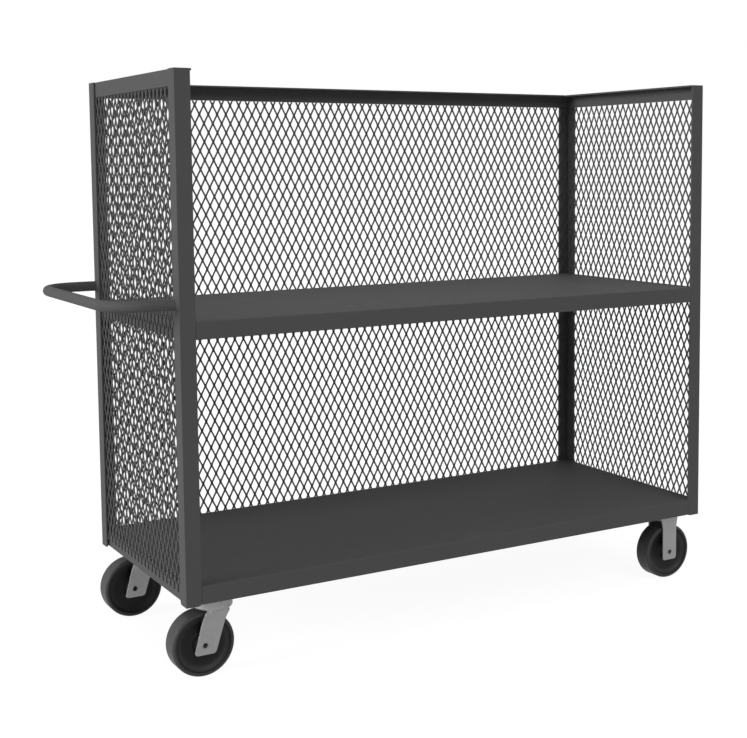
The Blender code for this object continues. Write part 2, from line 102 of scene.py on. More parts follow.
# Forms of the casters that the model leaves plain, as in the photograph
shoulder_width = 0.0065
shoulder_drop = 0.0058
rim_width = 0.0102
web_depth = 0.0115
bowl_slope = [(0.0006, 0.0026), (0.0022, 0.0044), (0.0048, 0.0064), (0.0082, 0.0083), (0.0124, 0.0098),
              (0.0175, 0.0109)]
web_outer = 0.0400
# Shares of the rim's grey by radius, from the bowl out: a lighter band painted on the bowl's slope as light,
# a dark line painted at the rim's foot as shade, then the greyer outer ring of the face
rim_grey_and_painted_light_bands = [(0.0500, 0.0), (0.0575, 0.55), (0.0640, 0.55), (0.0651, 0.0), (0.0661, 0.0), (0.0674, 1.0)]
hub_end_gap = 0.0011
axle_lip = 0.0014
axle_mouth = [(0.0064, 0.0009), (0.0060, 0.0002), (0.0056, -0.0012), (0.0051, -0.0034)]
mouth_depth = 0.0060
crown_dish_radius = 0.0290
crown_dish_foot = [(0.0320, 0.0020), (0.0345, 0.0)]
crown_rim_round = [(0.0435, 0.0), (0.0452, 0.0007), (0.0464, 0.0021)]
crown_rim_low = 0.0042
crown_chamfer = 0.0016
flare_low_z = 0.1260
flare_height = 0.0440
flare_inner_share = 0.85
leg_top_overlap = 0.0050
leg_wall_inset = 0.0010
leg_wall_slope = 0.7
leg_wall_scale = 1.2
leg_toe_radius = 0.0095
leg_heel_radius = 0.0065
leg_edge = 0.0009
flared_leg_edge = 0.0012
rigid_leg_slim = 0.0025
rigid_flare_radius = 0.060
rigid_flare_height = 0.038
rigid_toe_radius = 0.0085
plate_edge = 0.0010
plate_overlap = 0.0020
bolt_slack = 0.0008
crown_blend = 0.0036
web_blend = 0.004
plate_blend = 0.006
fork_step = 0.0011

# Expanded metal, as in the photograph
mesh_pitch = 0.0254
mesh_rise = 0.0492
mesh_lift = 0.0175
rear_strand = 0.0041
left_strand = 0.0045
right_strand = 0.0042
strand_crown = 0.00012
hole_end_share = 0.12
hole_side_share = 0.89
rear_phase = (0.0030, 0.9718)
left_phase = (0.0035, 1.0945)
right_phase = (0.0045, 0.9805)

# Fineness: facets round a turned piece, steps of an arc, passes that settle a fork's points, and the
# angles in degrees above which edges stay hard
wheel_facets = 128
axle_facets = 48
arc_steps = 6
refine_steps = 3
turned_sharp = 40
net_sharp = 34
tube_sharp = 50
weld_sharp = 60
fork_sharp = 70
bolt_sharp = 25
bevel_sharp = 40

# Places that follow
half_length = frame_length / 2
half_depth = frame_depth / 2
centre_x = (handle_reach + tube_radius) / 2
left_x = centre_x - half_length
right_x = centre_x + half_length
frame_seat = angle_wall + gap
leg_outer = leg_inner + leg_thickness
channel_z = lip_z + channel_lift
plate_top_z = channel_z - gap
plate_under_z = plate_top_z - plate_thickness
caster_y = half_depth - caster_setback
swivel_x = left_x + swivel_inset
rigid_x = right_x - rigid_inset
wheel_x = swivel_x - caster_trail
foot_z = wheel_radius - leg_below_axle
half_foot = leg_low_width / 2


# Meshes

def piece_from(name, vertices, faces, material, slot, sharp=None, place=(0, 0, 0)):
    """An object from lists of points and faces; sharp is the angle above which its edges stay hard."""
    mesh = bpy.data.meshes.new(name)
    mesh.from_pydata([tuple(v) for v in vertices], [], [tuple(f) for f in faces])
    mesh.validate()
    shape = bmesh.new()
    shape.from_mesh(mesh)
    bmesh.ops.recalc_face_normals(shape, faces=shape.faces)
    shape.to_mesh(mesh)
    shape.free()
    if sharp is not None:
        mesh.shade_smooth()
        mesh.set_sharp_from_angle(angle=math.radians(sharp))
    mesh.materials.append(material)
    piece = bpy.data.objects.new(name, mesh)
    piece.location = place
    bpy.context.scene.collection.objects.link(piece)
    return piece


def ring_faces(ring_count, points, closed):
    """Quads between rings of equally many points.

    If closed, the last ring joins the first, and if not, both end rings are capped.
    """
    faces = []
    for i in range(ring_count if closed else ring_count - 1):
        one = i * points
        two = (i + 1) % ring_count * points
        for j in range(points):
            k = (j + 1) % points
            faces.append((one + j, one + k, two + k, two + j))
    if not closed:
        faces.append(tuple(range(points)))
        faces.append(tuple(range((ring_count - 1) * points, ring_count * points)))
    return faces


def turned(name, profile, facets, place, material, slot):
    """A body of revolution about Y, from a closed profile of (radius, place along Y)."""
    vertices = []
    for radius, along in profile:
        for i in range(facets):
            turn = 2 * math.pi * i / facets
            vertices.append((radius * math.cos(turn), along, radius * math.sin(turn)))
    faces = ring_faces(len(profile), facets, True)
    return piece_from(name, vertices, faces, material, slot, turned_sharp, place)


def soften_node(node, width):
    """Rounds the edges of a CAD node, whose points are first joined where its faces meet."""
    joined = node.modifiers.new("join", "WELD")
    joined.merge_threshold = merge_distance
    bevel = node.modifiers.new("edge_round", "BEVEL")
    bevel.width = width
    bevel.segments = 2
    bevel.limit_method = "ANGLE"
    bevel.angle_limit = math.radians(bevel_sharp)
    bevel.harden_normals = True


# Materials

def new_material(name):
    """A new material, with its node tree and its shader."""
    material = bpy.data.materials.new(name)
    material.use_nodes = True
    return material, material.node_tree, material.node_tree.nodes["Principled BSDF"]


def noise(tree, scale, detail=4.0, roughness=0.55, stretch=(1, 1, 1)):
    """A noise value over the object's own coordinates, so its scale is in turns a metre."""
    where = tree.nodes.new("ShaderNodeTexCoord")
    mapping = tree.nodes.new("ShaderNodeMapping")
    mapping.inputs["Scale"].default_value = stretch
    texture = tree.nodes.new("ShaderNodeTexNoise")
    texture.inputs["Scale"].default_value = scale
    texture.inputs["Detail"].default_value = detail
    texture.inputs["Roughness"].default_value = roughness
    tree.links.new(where.outputs["Object"], mapping.inputs["Vector"])
    tree.links.new(mapping.outputs["Vector"], texture.inputs["Vector"])
    return texture.outputs["Fac"]


def ramp(tree, value, low, high, low_at=0.3, high_at=0.7):
    """Maps a value to a range, numbers to numbers or colours to colours."""
    if isinstance(low, tuple):
        blend = tree.nodes.new("ShaderNodeValToRGB")
        blend.color_ramp.elements[0].position = low_at
        blend.color_ramp.elements[1].position = high_at
        blend.color_ramp.elements[0].color = (*low, 1)
        blend.color_ramp.elements[1].color = (*high, 1)
        tree.links.new(value, blend.inputs["Fac"])
        return blend.outputs["Color"]
    spread = tree.nodes.new("ShaderNodeMapRange")
    for socket, number in (("From Min", low_at), ("From Max", high_at), ("To Min", low), ("To Max", high)):
        spread.inputs[socket].default_value = number
    tree.links.new(value, spread.inputs["Value"])
    return spread.outputs["Result"]


def banded(tree, value, stops):
    """Maps a value from 0 to 1 through a list of (value, result)."""
    blend = tree.nodes.new("ShaderNodeValToRGB")
    elements = blend.color_ramp.elements
    for i, (place, result) in enumerate(stops):
        stop = elements[i] if i < 2 else elements.new(place)
        stop.position = place
        stop.color = (result, result, result, 1)
    tree.links.new(value, blend.inputs["Fac"])
    return blend.outputs["Color"]


def mixed(tree, one, two, share):
    """Two colours mixed, by a number or by another value."""
    blend = tree.nodes.new("ShaderNodeMix")
    blend.data_type = "RGBA"
    tree.links.new(one, blend.inputs["A"])
    tree.links.new(two, blend.inputs["B"])
    if isinstance(share, float):
        blend.inputs["Factor"].default_value = share
    else:
        tree.links.new(share, blend.inputs["Factor"])
    return blend.outputs["Result"]


def bumped(tree, height, strength, distance, under=None):
    """The surface bumped by a height, on top of another bump if one is given."""
    bump = tree.nodes.new("ShaderNodeBump")
    bump.inputs["Strength"].default_value = strength
    bump.inputs["Distance"].default_value = distance
    tree.links.new(height, bump.inputs["Height"])
    if under is not None:
        tree.links.new(under, bump.inputs["Normal"])
    return bump.outputs["Normal"]


def shade(value, tint=(1.0, 1.0, 1.02)):
    """A grey of the given value, a trace bluer than neutral."""
    return tuple(value * part for part in tint)


def make_paint():
    """Textured grey powder coat: a fine orange peel, a slight cloudiness and specks of tone."""
    material, tree, shader = new_material("grey_powder_coat")
    cloud = ramp(tree, noise(tree, 2.2, 5), shade(0.072), shade(0.077))
    speck = ramp(tree, noise(tree, 950, 2), shade(0.067), shade(0.084), 0.35, 0.65)
    tree.links.new(mixed(tree, cloud, speck, 0.35), shader.inputs["Base Color"])
    tree.links.new(ramp(tree, noise(tree, 45, 4), 0.62, 0.68), shader.inputs["Roughness"])
    peel = bumped(tree, noise(tree, 420, 3), 0.14, 0.00025)
    tree.links.new(bumped(tree, noise(tree, 1700, 2), 0.12, 0.0001, peel), shader.inputs["Normal"])
    shader.inputs["Specular IOR Level"].default_value = 0.05
    return material


def make_zinc():
    """Satin zinc plate over rolled sheet."""
    material, tree, shader = new_material("zinc_plate")
    cloud = ramp(tree, noise(tree, 45, 6), shade(0.25), shade(0.29))
    grain = ramp(tree, noise(tree, 700, 3, 0.6, (1, 1, 0.12)), shade(0.24), shade(0.30))
    tree.links.new(mixed(tree, cloud, grain, 0.4), shader.inputs["Base Color"])
    tree.links.new(ramp(tree, noise(tree, 120, 5), 0.38, 0.52), shader.inputs["Roughness"])
    tree.links.new(bumped(tree, noise(tree, 900, 3), 0.2, 0.0001), shader.inputs["Normal"])
    shader.inputs["Metallic"].default_value = 0.8
    return material


def make_steel():
    """Ground bearing steel with a light film of oil."""
    material, tree, shader = new_material("bright_steel")
    film = ramp(tree, noise(tree, 180, 5), shade(0.40), shade(0.55))
    tree.links.new(film, shader.inputs["Base Color"])
    tree.links.new(ramp(tree, noise(tree, 300, 4), 0.22, 0.38), shader.inputs["Roughness"])
    tree.links.new(bumped(tree, noise(tree, 1500, 2), 0.1, 0.00005), shader.inputs["Normal"])
    shader.inputs["Metallic"].default_value = 1.0
    return material


def radius_about_y(tree):
    """How far a point is from the object's own Y axis, in metres."""
    where = tree.nodes.new("ShaderNodeTexCoord")
    flat = tree.nodes.new("ShaderNodeVectorMath")
    flat.operation = "MULTIPLY"
    flat.inputs[1].default_value = (1, 0, 1)
    length = tree.nodes.new("ShaderNodeVectorMath")
    length.operation = "LENGTH"
    tree.links.new(where.outputs["Object"], flat.inputs[0])
    tree.links.new(flat.outputs["Vector"], length.inputs[0])
    return length.outputs["Value"]


def make_phenolic():
    """Black moulded phenolic with short fibres in it, greyer on the tread, with light and shade painted on
    the face: a greyer outer ring, a lighter band painted on the bowl's slope as light, and a dark line
    painted at the rim's foot as shade.
    """
    material, tree, shader = new_material("black_phenolic")
    cloud = ramp(tree, noise(tree, 30, 6), shade(0.008), shade(0.012))
    fibre = ramp(tree, noise(tree, 1100, 4, 0.7), shade(0.007), shade(0.020), 0.45, 0.75)
    rolled = ramp(tree, noise(tree, 70, 6), shade(0.038), shade(0.050))
    # The grey of the face's outer ring, also used for the light painted on the bowl's slope
    rim_grey_and_painted_light_colour = ramp(tree, noise(tree, 55, 6), shade(0.040), shade(0.050))
    radius = radius_about_y(tree)
    # Mask by radius: painted light on the bowl's slope, painted shade at the rim's foot, and the greyer outer
    # ring
    rim_grey_and_painted_light_mask = banded(tree, radius, rim_grey_and_painted_light_bands)
    tread = ramp(tree, radius, 0.0, 1.0, wheel_radius - 0.0042, wheel_radius - 0.0008)
    faces = mixed(tree, mixed(tree, cloud, fibre, 0.35), rim_grey_and_painted_light_colour, rim_grey_and_painted_light_mask)
    tree.links.new(mixed(tree, faces, rolled, tread), shader.inputs["Base Color"])
    tree.links.new(ramp(tree, noise(tree, 90, 6), 0.42, 0.56), shader.inputs["Roughness"])
    tree.links.new(bumped(tree, noise(tree, 600, 4), 0.15, 0.00015), shader.inputs["Normal"])
    shader.inputs["Specular IOR Level"].default_value = 0.15
    return material


paint = make_paint()
zinc = make_zinc()
steel = make_steel()
phenolic = make_phenolic()
slot_materials = {"grey_paint": paint, "zinc_plate": zinc, "bright_steel": steel, "black_phenolic": phenolic}


# Expanded metal panels

def diamond_cell(strand_width):
    """One diamond of the net: its points as (across, up, on the strand's middle line), and its faces.

    A hole is a diamond with blunt ends above and below, cut short at its sides by the double-width bonds.
    """
    half_pitch = mesh_pitch / 2
    half_rise = mesh_rise / 2
    side = Vector((half_pitch, -half_rise)).normalized()
    open_share = 1 - strand_width / 2 * math.hypot(half_pitch, half_rise) / (half_pitch * half_rise)
    wide = open_share * half_pitch
    tall = open_share * half_rise
    end_width = hole_end_share * wide
    end_z = tall * (1 - end_width / wide)
    bond_x = hole_side_share * wide
    bond_z = tall * (1 - bond_x / wide)

    def on_middle(x, z):
        start = Vector((0, half_rise))
        return start + side * (Vector((x, z)) - start).dot(side)

    end_mid = on_middle(end_width, end_z)
    bond_mid = on_middle(bond_x, bond_z)
    hole = [(0, (end_z + tall) / 2), (end_width, end_z), (bond_x, bond_z), (bond_x, -bond_z),
            (end_width, -end_z), (0, -(end_z + tall) / 2), (-end_width, -end_z), (-bond_x, -bond_z),
            (-bond_x, bond_z), (-end_width, end_z)]
    middle = [(0, half_rise), tuple(end_mid), tuple(bond_mid), (half_pitch, 0),
              (bond_mid.x, -bond_mid.y), (end_mid.x, -end_mid.y), (0, -half_rise),
              (-end_mid.x, -end_mid.y), (-bond_mid.x, -bond_mid.y), (-half_pitch, 0),
              (-bond_mid.x, bond_mid.y), (-end_mid.x, end_mid.y)]
    points = [(x, z, 0.0) for x, z in hole] + [(x, z, 1.0) for x, z in middle]
    m = len(hole)
    faces = [(0, 1, m + 1, m), (1, 2, m + 2, m + 1), (2, 3, m + 4, m + 3, m + 2), (3, 4, m + 5, m + 4),
             (4, 5, m + 6, m + 5), (5, 6, m + 7, m + 6), (6, 7, m + 8, m + 7), (7, 8, m + 10, m + 9, m + 8),
             (8, 9, m + 11, m + 10), (9, 0, m, m + 11)]
    return np.array(points), faces, m


def cap_cuts(shape, place, normal):
    """Closes each loop of edges that a cut by a plane left open."""
    place = Vector(place)
    normal = Vector(normal)
    beside = {}
    for edge in shape.edges:
        if edge.is_boundary and all(abs((vert.co - place).dot(normal)) < cap_distance for vert in edge.verts):
            for vert in edge.verts:
                beside.setdefault(vert, []).append(edge.other_vert(vert))
    seen = set()
    for start in beside:
        if start in seen:
            continue
        loop = [start]
        seen.add(start)
        here = start
        while True:
            ahead = [vert for vert in beside[here] if vert not in seen]
            if not ahead:
                break
            here = ahead[0]
            seen.add(here)
            loop.append(here)
        if len(loop) > 2:
            shape.faces.new(loop)


def add_net(name, origin, along, outward, span, phase, strand_width):
    """An expanded metal panel.

    The origin is a point on its outer face, the span is its lowest and its highest corner there, and the
    phase is the place of one diamond's middle.
    """
    cell, cell_faces, hole_count = diamond_cell(strand_width)
    (low_a, low_z), (high_a, high_z) = span
    half = np.array((mesh_pitch / 2, mesh_rise / 2))
    phase = np.array(phase)
    first = np.floor((np.array((low_a, low_z)) - phase) / half).astype(int) - 1
    last = np.ceil((np.array((high_a, high_z)) - phase) / half).astype(int) + 1
    centres = []
    for i in range(first[0], last[0] + 1):
        for j in range(first[1], last[1] + 1):
            if (i + j) % 2 == 0:
                centres.append(phase + half * (i, j))
    centres = np.array(centres)
    count = len(cell)
    flat = (cell[None, :, :2] + centres[:, None, :]).reshape(-1, 2)
    middle = np.tile(cell[:, 2], len(centres))
    front = -strand_crown * (1 - middle)
    back = -mesh_sheet + strand_crown * (1 - middle)
    along = np.array(along, float)
    outward = np.array(outward, float)
    up = np.array((0.0, 0.0, 1.0))
    spots = flat[:, :1] * along + flat[:, 1:] * up + np.array(origin, float)
    vertices = np.concatenate([spots + front[:, None] * outward, spots + back[:, None] * outward])
    behind = len(spots)
    walls = [(i, (i + 1) % hole_count) for i in range(hole_count)]
    faces = []
    for k in range(len(centres)):
        base = k * count
        for face in cell_faces:
            faces.append([base + i for i in face])
            faces.append([behind + base + i for i in reversed(face)])
        for i, j in walls:
            faces.append([base + j, base + i, behind + base + i, behind + base + j])
    mesh = bpy.data.meshes.new(name)
    mesh.from_pydata(vertices.tolist(), [], faces)
    shape = bmesh.new()
    shape.from_mesh(mesh)
    bmesh.ops.remove_doubles(shape, verts=shape.verts, dist=merge_distance)
    for limit, normal in ((low_a, -along), (high_a, along), (low_z, -up), (high_z, up)):
        place = np.array(origin, float) + abs(normal) * limit
        everything = shape.verts[:] + shape.edges[:] + shape.faces[:]
        bmesh.ops.bisect_plane(shape, geom=everything, plane_co=place, plane_no=normal, clear_outer=True,
                               dist=cut_distance)
        cap_cuts(shape, place, normal)
    bmesh.ops.recalc_face_normals(shape, faces=shape.faces)
    shape.to_mesh(mesh)
    shape.free()
    mesh.shade_smooth()
    mesh.set_sharp_from_angle(angle=math.radians(net_sharp))
    mesh.materials.append(paint)
    net = bpy.data.objects.new(name + "_net", mesh)
    bpy.context.scene.collection.objects.link(net)
    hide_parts(name)
    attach(net, "root")


net_low_z = lip_z + mesh_lift
net_high_z = frame_top_z - angle_width - gap
end_x = half_length - frame_seat
end_y = half_depth - frame_seat
side_end_y = end_y - mesh_sheet - gap
add_net("mesh_rear", (0, end_y, 0), (1, 0, 0), (0, 1, 0),
        ((centre_x - end_x, net_low_z), (centre_x + end_x, net_high_z)), rear_phase, rear_strand)
add_net("mesh_left", (centre_x - end_x, 0, 0), (0, 1, 0), (-1, 0, 0),
        ((-end_y, net_low_z), (side_end_y, net_high_z)), left_phase, left_strand)
add_net("mesh_right", (centre_x + end_x, 0, 0), (0, 1, 0), (1, 0, 0),
        ((-end_y, net_low_z), (side_end_y, net_high_z)), right_phase, right_strand)


# Push handle

def add_handle():
    """A hollow tube with two bends, from post to post."""
    post_y = half_depth - angle_width / 2
    bar_x = left_x - handle_reach
    bend_steps = 20
    sides = 40
    stations = [((left_x - gap, -post_y), math.pi)]
    for side, start_turn in ((-1, math.pi), (1, math.pi / 2)):
        middle = Vector((bar_x + handle_bend, side * (post_y - handle_bend)))
        for step in range(bend_steps + 1):
            heading = start_turn - math.pi / 2 * step / bend_steps
            outward = Vector((math.cos(heading + math.pi / 2), math.sin(heading + math.pi / 2)))
            stations.append((middle + handle_bend * outward, heading))
    stations.append(((left_x - gap, post_y), 0))
    vertices = []
    for radius, route in ((tube_radius, stations), (tube_radius - tube_wall, stations[::-1])):
        for (x, y), heading in route:
            side_x = math.cos(heading + math.pi / 2)
            side_y = math.sin(heading + math.pi / 2)
            for i in range(sides):
                turn = 2 * math.pi * i / sides
                out = radius * math.cos(turn)
                vertices.append((x + out * side_x, y + out * side_y, handle_z + radius * math.sin(turn)))
    faces = ring_faces(2 * len(stations), sides, True)
    handle = piece_from("push_handle_tube", vertices, faces, paint, "grey_paint", tube_sharp)
    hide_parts("push_handle")
    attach(handle, "root")


def add_handle_weld(label, y):
    """A fillet weld round the tube's end on the post, with the ripples of its beads."""
    around = 144
    ripples = 30
    profile = [(0.0, 0.0), (0.0046, 0.0), (0.0034, 0.0014), (0.0020, 0.0026), (0.0009, 0.0038),
               (0.0, 0.0050)]
    vertices = []
    for out, along in profile:
        for i in range(around):
            turn = 2 * math.pi * i / around
            swell = 1 + 0.10 * abs(math.sin(turn * ripples / 2))
            radius = tube_radius - 0.0004 + out * swell
            depth = along * swell
            vertices.append((left_x - gap / 2 - depth, y + radius * math.cos(turn),
                             handle_z + radius * math.sin(turn)))
    faces = ring_faces(len(profile), around, True)
    weld = piece_from("handle_weld_" + label, vertices, faces, paint, "grey_paint", weld_sharp)
    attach(weld, "root")


add_handle()
for label, side in (("front", -1), ("rear", 1)):
    add_handle_weld(label, side * (half_depth - angle_width / 2))


# Wheels and axles

def wheel_profile():
    """Half of the wheel's section from tread to bore, as (radius, place along the axle)."""
    face = wheel_width / 2
    tread_side = face - shoulder_width
    half = [(wheel_radius, 0.0), (wheel_radius, tread_side * 0.6), (wheel_radius - 0.0002, tread_side)]
    steps = 9
    for step in range(1, steps + 1):
        turn = math.pi / 2 * step / steps
        drop = shoulder_drop * (1 - math.cos(turn))
        half.append((wheel_radius - drop, tread_side + shoulder_width * math.sin(turn)))
    rim_in = wheel_radius - rim_width
    web = face - web_depth
    hub_end = leg_inner - hub_end_gap
    half += [(rim_in + 0.0010, face), (rim_in + 0.0003, face - 0.0003), (rim_in, face - 0.0010)]
    half += [(rim_in - inward, face - depth) for inward, depth in bowl_slope]
    half += [(web_outer, web), (hub_radius + 0.0080, web), (hub_radius + 0.0050, web + 0.0010)]
    half += [(hub_radius + 0.0028, web + 0.0040), (hub_radius + 0.0012, face - 0.0020)]
    half += [(hub_radius + 0.0002, face + 0.0006), (hub_radius - 0.0006, hub_end)]
    half += [(hub_bore + 0.0008, hub_end), (hub_bore, hub_end - 0.0007)]
    return half


def mirrored(half):
    """The whole section from the half of it on one side of the wheel's middle."""
    return half + [(r, -y) for r, y in reversed(half) if y > 0]


def axle_profile():
    """Half of the hollow axle's section, with its end rolled out over the leg."""
    start = leg_outer + gap
    wide = axle_radius + axle_lip
    half = [(axle_radius, 0.0), (axle_radius, start - 0.0001), (wide - 0.0002, start)]
    half += [(wide, start + 0.0003), (wide - 0.0002, start + 0.0007), (wide - 0.0007, start + 0.0010)]
    half += [(radius, start + along) for radius, along in axle_mouth]
    half += [(axle_bore, start - mouth_depth), (axle_bore, 0.0001)]
    return half


def add_wheel_set(label, x, y, wheel_body, fork_body):
    """A wheel, and the hollow axle that its fork carries."""
    place = (x, y, wheel_radius)
    wheel = turned("wheel_" + label + "_moulding", mirrored(wheel_profile()), wheel_facets, place,
                   phenolic, "black_phenolic")
    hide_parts("wheel_" + label)
    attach(wheel, wheel_body)
    axle = turned("axle_" + label + "_tube", mirrored(axle_profile()), axle_facets, place,
                  zinc, "zinc_plate")
    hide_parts("axle_" + label)
    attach(axle, fork_body)


# Forks, as the zero level of a field

def surface_net(field, low, high, step):
    """Points and quads on a field's zero level, where it is negative inside."""
    sizes = [int(math.ceil((b - a) / step)) + 1 for a, b in zip(low, high)]
    axes = [a + step * np.arange(n) for a, n in zip(low, sizes)]
    grid = np.stack(np.meshgrid(*axes, indexing="ij"), -1)
    value = field(grid[..., 0], grid[..., 1], grid[..., 2])
    inside = value < 0
    cells = tuple(n - 1 for n in sizes)

    def part(array, shift):
        return array[tuple(slice(s, s + n) for s, n in zip(shift, cells))]

    some = np.zeros(cells, bool)
    every = np.ones(cells, bool)
    for shift in product((0, 1), repeat=3):
        some |= part(inside, shift)
        every &= part(inside, shift)
    active = some & ~every
    number = np.full(cells, -1)
    number[active] = np.arange(active.sum())
    total = np.zeros(cells + (3,))
    hits = np.zeros(cells)
    for axis in range(3):
        for shift in product((0, 1), repeat=3):
            if shift[axis]:
                continue
            other = tuple(s + (k == axis) for k, s in enumerate(shift))
            a, b = part(value, shift), part(value, other)
            cross = active & ((a < 0) != (b < 0))
            share = (a[cross] / (a[cross] - b[cross]))[:, None]
            total[cross] += part(grid, shift)[cross] * (1 - share) + part(grid, other)[cross] * share
            hits[cross] += 1
    points = total[active] / hits[active][:, None]
    for _ in range(refine_steps):
        points -= np.clip(level_step(field, points), -step / 2, step / 2)
    faces = []
    for axis in range(3):
        one, two = [k for k in range(3) if k != axis]
        inner = [slice(None)] * 3
        inner[axis] = slice(0, cells[axis])
        inner[one] = slice(1, cells[one])
        inner[two] = slice(1, cells[two])
        ahead = list(inner)
        ahead[axis] = slice(1, cells[axis] + 1)
        change = inside[tuple(inner)] != inside[tuple(ahead)]
        spots = np.argwhere(change) + np.array([0 if k == axis else 1 for k in range(3)])
        corners = []
        for back_one, back_two in ((1, 1), (0, 1), (0, 0), (1, 0)):
            here = spots.copy()
            here[:, one] -= back_one
            here[:, two] -= back_two
            corners.append(number[tuple(here.T)])
        faces.append(np.stack(corners, 1))
    return points.tolist(), np.concatenate(faces).tolist()


def level_step(field, points):
    """The move that takes points to the field's zero level."""
    reach = 0.00005
    value = field(*points.T)
    slope = np.stack([(field(*(points + reach * unit).T) - value) / reach for unit in np.eye(3)], 1)
    return value[:, None] * slope / np.maximum((slope ** 2).sum(1), 0.01)[:, None]


def soft_union(a, b, blend):
    """Both shapes, with a fillet where they meet."""
    share = np.clip(0.5 + 0.5 * (b - a) / blend, 0, 1)
    return b * (1 - share) + a * share - blend * share * (1 - share)


def polygon_distance(x, y, outline):
    """Signed distance to a flat outline, negative inside."""
    nearest = np.full(np.shape(x), np.inf)
    inside = np.zeros(np.shape(x), bool)
    for i, (bx, by) in enumerate(outline):
        ax, ay = outline[i - 1]
        ex, ey = bx - ax, by - ay
        share = np.clip(((x - ax) * ex + (y - ay) * ey) / (ex * ex + ey * ey), 0, 1)
        nearest = np.minimum(nearest, (x - ax - share * ex) ** 2 + (y - ay - share * ey) ** 2)
        if ey:
            crossing = (ay <= y) != (by <= y)
            inside ^= crossing & (x < ax + (y - ay) * ex / ey)
    return np.sqrt(nearest) * np.where(inside, -1.0, 1.0)


def slab(flat, height, low, high, edge):
    """A flat shape with rounded edges between two heights, from its outline's distance."""
    across = flat + edge
    up = np.abs(height - (low + high) / 2) - (high - low) / 2 + edge
    outside = np.hypot(np.maximum(across, 0), np.maximum(up, 0))
    return outside + np.minimum(np.maximum(across, up), 0) - edge


def rounded_outline(corners, radii):
    """A flat outline whose corners are arcs of the given radii."""
    outline = []
    for i, (corner, radius) in enumerate(zip(corners, radii)):
        here = Vector(corner)
        back = (Vector(corners[i - 1]) - here).normalized()
        ahead = (Vector(corners[(i + 1) % len(corners)]) - here).normalized()
        if not radius:
            outline.append(tuple(here))
            continue
        half = back.angle(ahead) / 2
        middle = here + (back + ahead).normalized() * (radius / math.sin(half))
        start = here + back * (radius / math.tan(half)) - middle
        end = here + ahead * (radius / math.tan(half)) - middle
        start3, end3 = start.to_3d(), end.to_3d()
        for step in range(arc_steps + 1):
            point = middle + radius * (start3.slerp(end3, step / arc_steps)).to_2d().normalized()
            outline.append(tuple(point))
    return outline


def add_fork(label, net, place, body):
    """A pressed fork from its points and faces, in place of the node of that name."""
    fork = piece_from(label + "_pressing", *net, zinc, "zinc_plate", fork_sharp, place)
    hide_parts(label)
    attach(fork, body)


def axle_hole(x, z, trail):
    """Distance to the axle's hole, which trails behind the fork's middle."""
    return np.hypot(x + trail, z - wheel_radius) - (axle_radius + gap)


def swivel_field(x, y, z):
    """The turning crown, dished below, which flows into two raked legs."""
    radius = np.hypot(x, y)
    dish = [(0.0, crown_roof_z), (crown_dish_radius, crown_roof_z)]
    dish += [(r, crown_under_z + rise) for r, rise in crown_dish_foot + crown_rim_round]
    dish += [(crown_radius, crown_under_z + crown_rim_low), (crown_radius, crown_top_z - crown_chamfer)]
    dish += [(crown_radius - crown_chamfer, crown_top_z)]
    dish += [(race_outer, crown_top_z), (race_outer, groove_floor_z), (race_inner, groove_floor_z)]
    dish += [(race_inner, crown_top_z), (0.0, crown_top_z)]
    crown = polygon_distance(radius, z, dish)
    half_top = swivel_leg_top_width / 2
    top_z = crown_under_z + leg_top_overlap
    corners = [(half_top, top_z), (half_foot - caster_trail, foot_z),
               (-half_foot - caster_trail, foot_z), (-half_top, top_z)]
    outline = rounded_outline(corners, [0, leg_toe_radius, leg_heel_radius, 0])
    flat = polygon_distance(x, z, outline)
    share = np.clip((z - flare_low_z) / flare_height, 0, 1)
    flare = (crown_radius - leg_outer) * share ** 2 * (3 - 2 * share)
    leg = slab(flat, np.abs(y), leg_inner + flare_inner_share * flare, leg_outer + flare, flared_leg_edge)
    wall = radius - crown_radius + leg_wall_inset - leg_wall_slope * np.maximum(crown_under_z - z, 0)
    leg = np.maximum(leg, wall / leg_wall_scale)
    whole = soft_union(crown, leg, crown_blend)
    whole = np.maximum(whole, -axle_hole(x, z, caster_trail))
    return np.maximum(whole, kingpin_hole - radius)


def rigid_field(x, y, z):
    """The plate with its two upright legs, formed as one piece."""
    corners = [(-plate_length / 2, -plate_width / 2), (plate_length / 2, -plate_width / 2),
               (plate_length / 2, plate_width / 2), (-plate_length / 2, plate_width / 2)]
    flat = polygon_distance(x, y, rounded_outline(corners, [plate_corner] * 4))
    plate = slab(flat, z, plate_under_z, plate_top_z, plate_edge)
    half_top = rigid_leg_top_width / 2
    top_z = plate_under_z + plate_overlap
    low = half_foot - rigid_leg_slim
    bend_z = plate_under_z - rigid_flare_height
    side = [(half_top, top_z), (low + 0.0003, bend_z), (low, foot_z),
            (-low, foot_z), (-low - 0.0003, bend_z), (-half_top, top_z)]
    radii = [0, rigid_flare_radius, rigid_toe_radius, leg_heel_radius, rigid_flare_radius, 0]
    leg_flat = polygon_distance(x, z, rounded_outline(side, radii))
    leg = slab(leg_flat, np.abs(y), leg_inner, leg_outer, leg_edge)
    web_corners = [(-half_foot, -leg_outer), (half_foot, -leg_outer),
                   (half_foot, leg_outer), (-half_foot, leg_outer)]
    web = slab(polygon_distance(x, y, web_corners), z, plate_under_z - leg_thickness, top_z, leg_edge)
    whole = soft_union(plate, soft_union(leg, web, web_blend), plate_blend)
    whole = np.maximum(whole, -axle_hole(x, z, 0))
    for i, j in product((-1, 1), repeat=2):
        hole = np.hypot(x - i * hole_pitch_x / 2, y - j * hole_pitch_y / 2) - (bolt_radius + bolt_slack)
        whole = np.maximum(whole, -hole)
    return whole


# Fasteners and plates

def hex_reach(turn, flats):
    """How far a hexagon's side is from its middle in a direction."""
    return flats / 2 / math.cos(turn % (math.pi / 3) - math.pi / 6)


